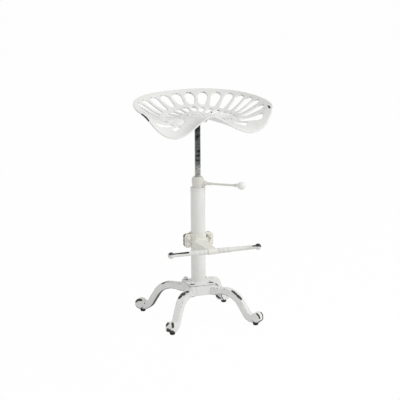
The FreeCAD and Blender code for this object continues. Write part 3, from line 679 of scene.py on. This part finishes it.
def sprayed_tube_paint():
    material, tree, shader, coordinates = new_finish("sprayed_tube_paint")
    place = coordinates["Object"]
    cloud = noise_node(tree, place, 9.0, 3.0)
    peel = noise_node(tree, place, 900.0, 2.0)
    smear = range_node(tree, noise_node(tree, place, 55.0, 6.0, 0.65), 0.52, 0.80, 0.0, 0.16)
    coat = mix_colour(tree, range_node(tree, cloud, 0.3, 0.7), tube_warm_white, tube_white)
    tree.links.new(mix_colour(tree, smear, coat, paint_stain), shader.inputs["Base Color"])
    tree.links.new(plus(tree, 0.34, times(tree, cloud, 0.12)), shader.inputs["Roughness"])
    add_relief(tree, shader, peel, 0.08, 0.0002)
    return material


finish_piece(turned_copy("column_tube", "base"), sprayed_tube_paint())

# Column nut: a flanged cast plug driven into the top of the column, and painted with it.
# Its thread carries the lift screw.

column_nut_grain = 0.0007
column_nut_tint = (0.80, 0.79, 0.75, 1)
column_nut_paint = white_paint_worn_and_shaded("column_nut_paint", column_nut_tint, edge_wear=0.30)
finish_piece(cast_copy("column_nut", column_nut_grain, "base"), column_nut_paint)

# Guide bush: a turned iron bush on the foot of the screw, held by a washer and a bolt inside the column.
# All three are bare and oiled, and never seen unless the screw is taken out.

dress("guide_bush", oiled_metal("oiled_iron", (0.03, 0.028, 0.026, 1), (0.11, 0.10, 0.09, 1), 0.40))
dress("stop_washer", blackened_steel)
dress("stop_bolt", blackened_steel)

# Lift screw: a 20 mm steel bar with a coarse trapezoidal thread of 4 mm pitch. It is blackened and oily
# above, and near the collar the spray of paint has caught on its crests.

screw_low, screw_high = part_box("lift_screw")
thread_radius = 0.010
thread_pitch = 0.004
thread_depth = 0.0019
rows_per_turn = 10.0
flank_start, flank_end = 0.36, 0.64
journal_radius = 0.008
journal_round = 0.0003
thread_clearance = 0.0003
oil_black = (0.020, 0.023, 0.027, 1)
rubbed_steel = (0.17, 0.19, 0.195, 1)
bright_steel = (0.26, 0.28, 0.28, 1)
caught_paint = (0.60, 0.60, 0.56, 1)
caught_high, caught_low = 0.545, 0.530
oily_high, oily_low = 0.67, 0.52


def thread_tree():
    """An upright bar whose side follows a right-hand trapezoidal thread, standing on each point."""
    tree, given, result = geometry_tree("screw_thread", ("Radius", "Length", "Pitch", "Depth"))
    steps = times(tree, math_node(tree, "DIVIDE", given["Length"], given["Pitch"]), rows_per_turn)
    bar = tree_node(tree, "GeometryNodeMeshCylinder", Vertices=40, Side_Segments=steps,
                    Radius=given["Radius"], Depth=given["Length"])
    x, y, z = point_place(tree)
    turns = math_node(tree, "DIVIDE", math_node(tree, "ARCTAN2", y, x), 2 * math.pi)
    height = math_node(tree, "DIVIDE", z, given["Pitch"])
    phase = math_node(tree, "FRACT", minus(tree, height, turns))
    from_crest = times(tree, math_node(tree, "ABSOLUTE", minus(tree, phase, 0.5)), 2.0)
    flank = tree_node(tree, "ShaderNodeMapRange", Value=from_crest, From_Min=flank_start, From_Max=flank_end)
    cut = times(tree, math_node(tree, "DIVIDE", given["Depth"], given["Radius"]), flank.outputs["Result"])
    keep = minus(tree, 1.0, cut)
    formed = tree_node(tree, "ShaderNodeCombineXYZ", X=times(tree, x, keep), Y=times(tree, y, keep), Z=z)
    threaded = tree_node(tree, "GeometryNodeSetPosition", Geometry=bar.outputs["Mesh"],
                         Position=formed.outputs[0])
    smooth = tree_node(tree, "GeometryNodeSetShadeSmooth", Geometry=threaded.outputs[0], Shade_Smooth=True)
    stand_on_points(tree, given, result, smooth.outputs[0])
    return tree


def oily_screw_finish():
    """Dark oily steel, with paint caught on the crests up to a ragged line."""
    material, tree, shader, coordinates = new_finish("oily_screw_steel")
    place = coordinates["Object"]
    height = tree_node(tree, "ShaderNodeSeparateXYZ", Vector=place).outputs["Z"]
    from_axis = vector_node(tree, "LENGTH", vector_node(tree, "MULTIPLY", place, (1, 1, 0)))
    crest = range_node(tree, from_axis, 0.0088, 0.0098)
    smear = noise_node(tree, place, 120.0, 5.0, 0.6)
    band = noise_node(tree, vector_node(tree, "MULTIPLY", place, (0.25, 0.25, 1)), 75.0, 3.0)
    lower = range_node(tree, height, oily_high, oily_low, 0.35, 1.0)
    marked = times(tree, range_node(tree, band, 0.38, 0.62), lower)
    steel = mix_colour(tree, marked, oil_black, rubbed_steel)
    steel = mix_colour(tree, times(tree, times(tree, crest, marked), 0.7), steel, bright_steel)
    ragged = plus(tree, height, times(tree, smear, 0.030))
    below = range_node(tree, ragged, caught_high, caught_low)
    caught = times(tree, below, range_node(tree, smear, 0.36, 0.52))
    caught = times(tree, caught, range_node(tree, crest, 0.0, 0.5, 0.55, 1.0))
    tree.links.new(mix_colour(tree, caught, steel, caught_paint), shader.inputs["Base Color"])
    tree.links.new(range_node(tree, caught, 0.0, 1.0, 0.75, 0.0), shader.inputs["Metallic"])
    tree.links.new(plus(tree, 0.30, times(tree, smear, 0.25)), shader.inputs["Roughness"])
    return material


screw_finish = oily_screw_finish()
thread_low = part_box("guide_bush")[1][2] + thread_clearance
thread_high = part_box("seat_mount_plate")[0][2]
grow("lift_screw_thread", thread_tree(), [(0, 0, (thread_low + thread_high) / 2)],
     {"Radius": thread_radius, "Length": thread_high - thread_low, "Pitch": thread_pitch,
      "Depth": thread_depth, "Finish": screw_finish}, "seat_and_screw", "lift_screw")


def lathe(name, profile, body, segments):
    """A turned piece, from (radius, height) points, about the upright axis through the origin."""
    shape = bmesh.new()
    rings = []
    for radius, height in profile:
        turns = [2 * math.pi * i / segments for i in range(segments)]
        rings.append([shape.verts.new((radius * math.cos(a), radius * math.sin(a), height)) for a in turns])
    for low, high in zip(rings, rings[1:]):
        for i in range(segments):
            face = shape.faces.new((low[i - 1], low[i], high[i], high[i - 1]))
            face.smooth = True
    shape.faces.new(rings[0][::-1])
    shape.faces.new(rings[-1])
    piece = shape_object(name, shape)
    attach(piece, body)
    return piece


for name, low, high in (("screw_foot_journal", screw_low[2], thread_low),
                        ("screw_head_journal", thread_high, screw_high[2])):
    profile = [(journal_radius - journal_round, low), (journal_radius, low + journal_round),
               (journal_radius, high - journal_round), (journal_radius - journal_round, high)]
    journal = lathe(name, profile, "seat_and_screw", segments=48)
    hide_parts("lift_screw")
    finish_piece(journal, screw_finish)

# Lock collar, handle and knob: a cast collar threaded on the screw above the column nut, with a boss for
# the steel handle rod. The knob is a cast ball with a short neck. Their paint is yellower and dirtier.

collar_tint = (0.735, 0.72, 0.67, 1)
knob_tint = (0.88, 0.87, 0.82, 1)
rod_tint = (0.70, 0.69, 0.62, 1)
handle_grain = 0.0006
knob_nut_grain = 0.0004
collar_rub = [((0.0, 0.0, 0.4885), (0.0, 0.0, 0.4885), 0.0125, 0.45)]
rod_rub = [((0.030, -0.0235, 0.4633), (0.100, -0.078, 0.4633), 0.0062, 0.30)]
collar_paint = white_paint_worn_and_shaded("collar_paint", collar_tint, edge_wear=0.38, grime=0.6, streaks=collar_rub)
collar = cast_copy("lock_collar", handle_grain, "lock_handle", rounding=3)
finish_piece(collar, collar_paint)
rod_paint = white_paint_worn_and_shaded("rod_paint", rod_tint, edge_wear=0.3, grime=0.7, streaks=rod_rub)
finish_piece(turned_copy("handle_rod", "lock_handle"), rod_paint)
knob_paint = white_paint_worn_and_shaded("knob_paint", knob_tint, edge_wear=0.35, grime=0.6)
finish_piece(cast_copy("knob", handle_grain, "lock_handle", rounding=3), knob_paint)
knob_nut_paint = white_paint_worn_and_shaded("knob_nut_paint", knob_tint, edge_wear=0.6, grime=0.8)
finish_piece(cast_copy("knob_nut", knob_nut_grain, "lock_handle"), knob_nut_paint)

# Footrest clamp: two cast halves bolted round the column, in a yellower white. The front half carries a
# tapered arm that leans to the left and ends in the eye for the bar.

clamp_tint = (0.83, 0.815, 0.73, 1)
clamp_grain = 0.0009
bar_y, bar_z = middle_of("footrest_bar", 1), middle_of("footrest_bar", 2)
bar_hole, eye_radius, eye_slimming, eye_blend = 0.0082, 0.0130, 0.4, 0.005
arm_root_y, arm_root_half, arm_end_half = -0.0256, 0.0155, 0.0100
arm_root_left, arm_root_right = -0.0330, 0.0155
arm_end_left, arm_end_right = -0.0240, 0.0060
lean_start, lean_blend = -0.024, 0.014


def between(first, second, share):
    return first + (second - first) * min(max(share, 0.0), 1.0)


def lean_arm(mesh):
    """Widens the arm's root to the left, moves its end the same way, and slims the eye round the bar."""
    for vertex in mesh.vertices:
        x, y, z = vertex.co
        share = (arm_root_y - y) / (arm_root_y - bar_y)
        half = between(arm_root_half, arm_end_half, share)
        left = between(arm_root_left, arm_end_left, share)
        right = between(arm_root_right, arm_end_right, share)
        inside = max(min(x, half), -half)
        leant = (left + right) / 2 + inside / half * (right - left) / 2 + (x - inside) / 6
        vertex.co.x = between(x, leant, (lean_start - y) / lean_blend)
        radius = math.hypot(y - bar_y, z - bar_z)
        slim = between(eye_slimming, 1.0, (radius - eye_radius) / eye_blend)
        slimmed = bar_hole + (radius - bar_hole) * slim if radius > bar_hole else radius
        vertex.co.y = bar_y + (y - bar_y) * slimmed / max(radius, 1e-6)
        vertex.co.z = bar_z + (z - bar_z) * slimmed / max(radius, 1e-6)


clamp_front = cast_copy("footrest_clamp_front", clamp_grain, "footrest", rounding=4)
lean_arm(clamp_front.data)
# Painted shade: a grey strip down the left end faces of the ears, and a dark spot of painted shadow high on
# the front barrel beside the right ear. A small dark spot also lies between the right ear's front nuts.
ear_side_shade = ((-0.0510, 0.0000, 0.2540), (-0.0510, 0.0000, 0.2900), 0.0105, 0.46)
front_streaks = [ear_side_shade, ((-0.0330, 0.0000, 0.2938), (-0.0265, 0.0000, 0.2938), 0.0032, 1.3),
                 ((0.0228, -0.0227, 0.2850), (0.0228, -0.0227, 0.2880), 0.0058, 1.2),
                 ((0.0382, -0.0102, 0.2728), (0.0382, -0.0102, 0.2728), 0.0030, 1.0)]
rear_streaks = [ear_side_shade, ((-0.0330, 0.0012, 0.2938), (-0.0265, 0.0012, 0.2938), 0.0032, 1.3),
                ((0.034, 0.004, 0.294), (0.040, 0.004, 0.294), 0.0020, 0.9)]
front_paint = white_paint_worn_and_shaded("clamp_front_paint", clamp_tint, edge_wear=0.33, grime=0.45,
                               streaks=front_streaks, underside=0.25)
finish_piece(clamp_front, front_paint)
rear_paint = white_paint_worn_and_shaded("clamp_rear_paint", clamp_tint, edge_wear=0.36, grime=0.45,
                              streaks=rear_streaks)
clamp_rear = cast_copy("footrest_clamp_rear", clamp_grain, "footrest", rounding=4)
finish_piece(clamp_rear, rear_paint)

# Footrest bar: turned from iron bar, with swelled bands on both sides of the eye that grip a boot, a taper,
# and a ball on each end. Shoes have rubbed the tops of the balls, and a stretch beside them, to the iron.

eye_middle = (arm_end_left + arm_end_right) / 2
eye_half_length = 0.0170
bar_radius, band_swell, neck_radius, ball_radius = 0.0076, 0.0014, 0.0064, 0.0107
bar_half_length = 0.1513
band_count, band_length, band_ends = 3, 0.0158, 0.0007
band_steps, ball_steps = 8, 14
ball_end_angle = 0.06


def half_bar(length):
    """Half the bar as (distance from the middle of the eye, radius), outwards to the ball."""
    outline = [(0.0, bar_radius), (eye_half_length - 0.001, bar_radius)]
    for k in range(band_count):
        start = eye_half_length + band_length * k + band_ends
        for i in range(band_steps + 1):
            swell = math.sin(math.pi * i / band_steps) ** 0.5
            along = (band_length - 2 * band_ends) * i / band_steps
            outline.append((start + along, bar_radius + band_swell * swell))
    meet = math.pi - math.asin(neck_radius / ball_radius)
    for i in range(ball_steps + 1):
        angle = meet + (ball_end_angle - meet) * i / ball_steps
        outline.append((length + ball_radius * math.cos(angle), ball_radius * math.sin(angle)))
    return outline


left_half = half_bar(bar_half_length + eye_middle)
right_half = half_bar(bar_half_length - eye_middle)
bar_outline = [(r, eye_middle - d) for d, r in left_half[::-1]]
bar_outline += [(r, eye_middle + d) for d, r in right_half[1:]]
bar = lathe("footrest_bar_turned", bar_outline, "footrest", segments=56)
bar.data.transform(Matrix.Translation((0, bar_y, bar_z)) @ Matrix.Rotation(math.pi / 2, 4, "Y"))
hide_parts("footrest_bar")
bar_tint = (0.72, 0.715, 0.665, 1)
bar_streaks = [((-0.1550, -0.1600, 0.2795), (-0.1480, -0.1600, 0.2795), 0.0100, 1.4),
               ((-0.1480, -0.1590, 0.2762), (-0.1230, -0.1590, 0.2756), 0.0050, 1.12),
               ((-0.1190, -0.1590, 0.2756), (-0.0944, -0.1590, 0.2756), 0.0056, 1.12),
               ((0.1480, -0.1600, 0.2790), (0.1560, -0.1610, 0.2780), 0.0108, 1.4),
               ((0.1324, -0.1590, 0.2753), (0.1500, -0.1590, 0.2762), 0.0044, 1.3)]
finish_piece(bar, white_paint_worn_and_shaded("bar_paint", bar_tint, grime=0.35, streaks=bar_streaks))

# Clamp fasteners: four M8 bolts and washers through the ears of both halves, with their nuts on the front.
# They are painted over with the clamp, with a dark ring of painted shadow round each nut and bolt head.

ear_face = 0.011


def clamp_corners(y):
    return [(x, y, z) for x in (-0.039, 0.039) for z in (0.2605, 0.2825)]


# Painted shadow: a dark ring round each nut and bolt head, where it meets the ear.
both_faces = clamp_corners(-ear_face) + clamp_corners(ear_face)
clamp_nut_shadows = [(corner, corner, 0.0085, 0.64) for corner in both_faces]
clamp_paint = white_paint_worn_and_shaded("clamp_fastener_paint", clamp_tint, edge_wear=0.2, grime=0.6,
                               streaks=clamp_nut_shadows)
laid_down = (math.pi / 2, 0, 0)
grow_hexagons("clamp_nut_set", clamp_corners(middle_of("clamp_nuts", 1)), nut_height, shank_radius,
              clamp_paint, "footrest", "clamp_nuts", tilt=laid_down)
bolt_low, bolt_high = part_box("clamp_bolts")
head_middle = bolt_high[1] - head_height / 2
grow_hexagons("clamp_bolt_set", clamp_corners(head_middle), head_height, shank_radius / 2,
              clamp_paint, "footrest", "clamp_bolts", head_middle - bolt_low[1], laid_down)
finish_piece(cast_copy("clamp_washers", washer_grain, "footrest", rounding=1), clamp_paint)

# Seat: one iron casting, 454 mm wide, poured in a slotted pan pattern. It is painted white all over, with
# painted shade on the slot ends that face the middle, and chipped to the iron on both edges of the rim
# where hands lift it.
# On each side the last three slots and the last petal are filled and cut anew, closer to the lobe's front.

seat_grain = 0.00175
pan_middle_y = -0.008
under_pan, over_pan = 0.60, 0.80
fill_margin = 0.0025
end_steps = 12
# The next number is the strength of the painted shade on the slot ends.
slot_end_shade_strength = 0.22
filled_slots = [((109, 0.141, 0.0089), (102, 0.218, 0.0158)), ((120, 0.145, 0.0103), (114, 0.218, 0.0165)),
                ((131, 0.148, 0.0122), (127, 0.184, 0.0150)), ((126, 0.060, 0.0044), (126, 0.133, 0.0131))]
new_slots = [((114, 0.141, 0.0090), (106, 0.215, 0.0165)), ((124, 0.141, 0.0085), (121, 0.215, 0.0125)),
             ((131, 0.128, 0.0065), (131, 0.170, 0.0095)), ((123, 0.072, 0.0040), (124, 0.114, 0.0065))]


def pan_place(turn, reach, side):
    angle = math.radians(turn)
    return Vector((side * reach * math.sin(angle), pan_middle_y + reach * math.cos(angle)))


def slot_axis(slot, side):
    """The middles and radii of a slot's two round ends. Each end is given as (turn, reach, radius)."""
    (turn_a, reach_a, radius_a), (turn_b, reach_b, radius_b) = slot
    near, far = pan_place(turn_a, reach_a, side), pan_place(turn_b, reach_b, side)
    along = (far - near).normalized()
    return near + along * radius_a, far - along * radius_b, along, radius_a, radius_b


def slot_cutter(slot, side, shape):
    """Adds an upright prism with a round at each end of the slot."""
    near, far, along, radius_a, radius_b = slot_axis(slot, side)
    start = math.atan2(along.y, along.x)
    outline = []
    quarter = math.pi / 2
    for middle, radius, first in ((far, radius_b, start - quarter), (near, radius_a, start + quarter)):
        for i in range(end_steps + 1):
            angle = first + math.pi * i / end_steps
            outline.append((middle.x + radius * math.cos(angle), middle.y + radius * math.sin(angle)))
    low, high = [[shape.verts.new((x, y, z)) for x, y in outline] for z in (under_pan, over_pan)]
    shape.faces.new(low[::-1])
    shape.faces.new(high)
    for i in range(len(outline)):
        shape.faces.new((low[i - 1], low[i], high[i], high[i - 1]))


def slot_filling(slot, side, casting, shape):
    """Adds a patch of wall over the slot, level with the ribs on both sides of it."""
    near, far, along, radius_a, radius_b = slot_axis(slot, side)
    across = Vector((-along.y, along.x))
    near, far = near - along * (radius_a + fill_margin), far + along * (radius_b + fill_margin)
    rows, columns = 16, 6
    sheets = ([], [])
    for i in range(rows + 1):
        share = i / rows
        middle = near.lerp(far, share)
        half = radius_a + (radius_b - radius_a) * share + fill_margin
        ends = [middle - across * half, middle + across * half]
        for sheet, start, aim in ((sheets[0], under_pan, 1), (sheets[1], over_pan, -1)):
            hits = [casting.ray_cast(Vector((p.x, p.y, start)), Vector((0, 0, aim)))[0].z for p in ends]
            row = []
            for j in range(columns + 1):
                p = ends[0].lerp(ends[1], j / columns)
                row.append(shape.verts.new((p.x, p.y, between(hits[0], hits[1], j / columns))))
            sheet.append(row)
    for sheet in sheets:
        for a, b in zip(sheet, sheet[1:]):
            for j in range(columns):
                shape.faces.new((a[j], a[j + 1], b[j + 1], b[j]))
    low, high = sheets
    borders = [([r[0] for r in low], [r[0] for r in high]), ([r[-1] for r in low], [r[-1] for r in high]),
               (low[0], high[0]), (low[-1], high[-1])]
    for under, over in borders:
        for i in range(len(under) - 1):
            shape.faces.new((under[i], under[i + 1], over[i + 1], over[i]))
    bmesh.ops.recalc_face_normals(shape, faces=shape.faces)


def recut_slots(mesh):
    """Fills the old slots of the casting and cuts the new ones, in a seat's mesh that is still coarse."""
    body = bmesh.new()
    body.from_mesh(mesh)
    casting = BVHTree.FromBMesh(body)
    filling, cutting = bmesh.new(), bmesh.new()
    for side in (1, -1):
        for slot in filled_slots:
            slot_filling(slot, side, casting, filling)
        for slot in new_slots:
            slot_cutter(slot, side, cutting)
    cutter = shape_object("slot_cutters", cutting)
    joined = bmesh.new()
    for piece in (shape_object("seat_body", body), shape_object("seat_filling", filling)):
        cut = piece.modifiers.new("slots", "BOOLEAN")
        cut.operation = "DIFFERENCE"
        cut.solver = "EXACT"
        cut.use_self = piece.name == "seat_filling"
        cut.object = cutter
        joined.from_mesh(plain_mesh(piece))
        bpy.data.objects.remove(piece)
    bpy.data.objects.remove(cutter)
    joined.to_mesh(mesh)
    joined.free()


def slot_end_shade(tree, coordinates):
    """A mask of painted shade on the slot ends that face the middle of the seat."""
    flat = vector_node(tree, "MULTIPLY", coordinates["Object"], (1, 1, 0))
    outward = vector_node(tree, "NORMALIZE", flat)
    facing = vector_node(tree, "DOT_PRODUCT", outward, coordinates["Normal"])
    return times(tree, range_node(tree, facing, -0.72, -0.90), slot_end_shade_strength)


seat_tint = (0.845, 0.845, 0.815, 1)
seat_streaks = [((0.2112, -0.0970, 0.7240), (0.2101, -0.1110, 0.7200), 0.0042, 1.2),
                ((-0.2244, -0.0946, 0.7272), (-0.2198, -0.1123, 0.7224), 0.0050, 1.30),
                ((-0.2198, -0.1123, 0.7224), (-0.2140, -0.1240, 0.7130), 0.0050, 1.30),
                ((-0.2081, -0.0951, 0.7225), (-0.2060, -0.0960, 0.7225), 0.0060, 0.5),
                ((0.0621, 0.0374, 0.6901), (0.0630, 0.0380, 0.6905), 0.0050, 0.6)]
seat_paint = white_paint_worn_and_shaded("seat_paint", seat_tint, edge_wear=0.27, grime=0.25, streaks=seat_streaks,
                              shade_mask=slot_end_shade)
seat = cast_copy("seat", seat_grain, "seat_and_screw", rounding=3, reshape=recut_slots)
finish_piece(seat, seat_paint)

# Seat bolts and plate: four round-headed bolts, with washers and nuts below, hold the pan on a steel plate
# that is welded to the screw's head. All of it is painted with the seat.

seat_spread = 0.020
bolt_grain = 0.0005
seat_plate = cast_copy("seat_mount_plate", plate_grain, "seat_and_screw")
plate_paint = white_paint_worn_and_shaded("seat_plate_paint", edge_wear=0.45, grime=0.5)
finish_piece(seat_plate, plate_paint)
bolt_paint = white_paint_worn_and_shaded("seat_fastener_paint", edge_wear=0.5, grime=0.5)
finish_piece(cast_copy("seat_bolts", bolt_grain, "seat_and_screw"), bolt_paint)
washers = cast_copy("seat_washers", washer_grain, "seat_and_screw", rounding=1)
finish_piece(washers, bolt_paint)
nut_low, nut_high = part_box("seat_nuts")
grow_hexagons("seat_nut_set", four_corners(seat_spread, middle_of("seat_nuts", 2)), nut_high[2] - nut_low[2],
              shank_radius, bolt_paint, "seat_and_screw", "seat_nuts")
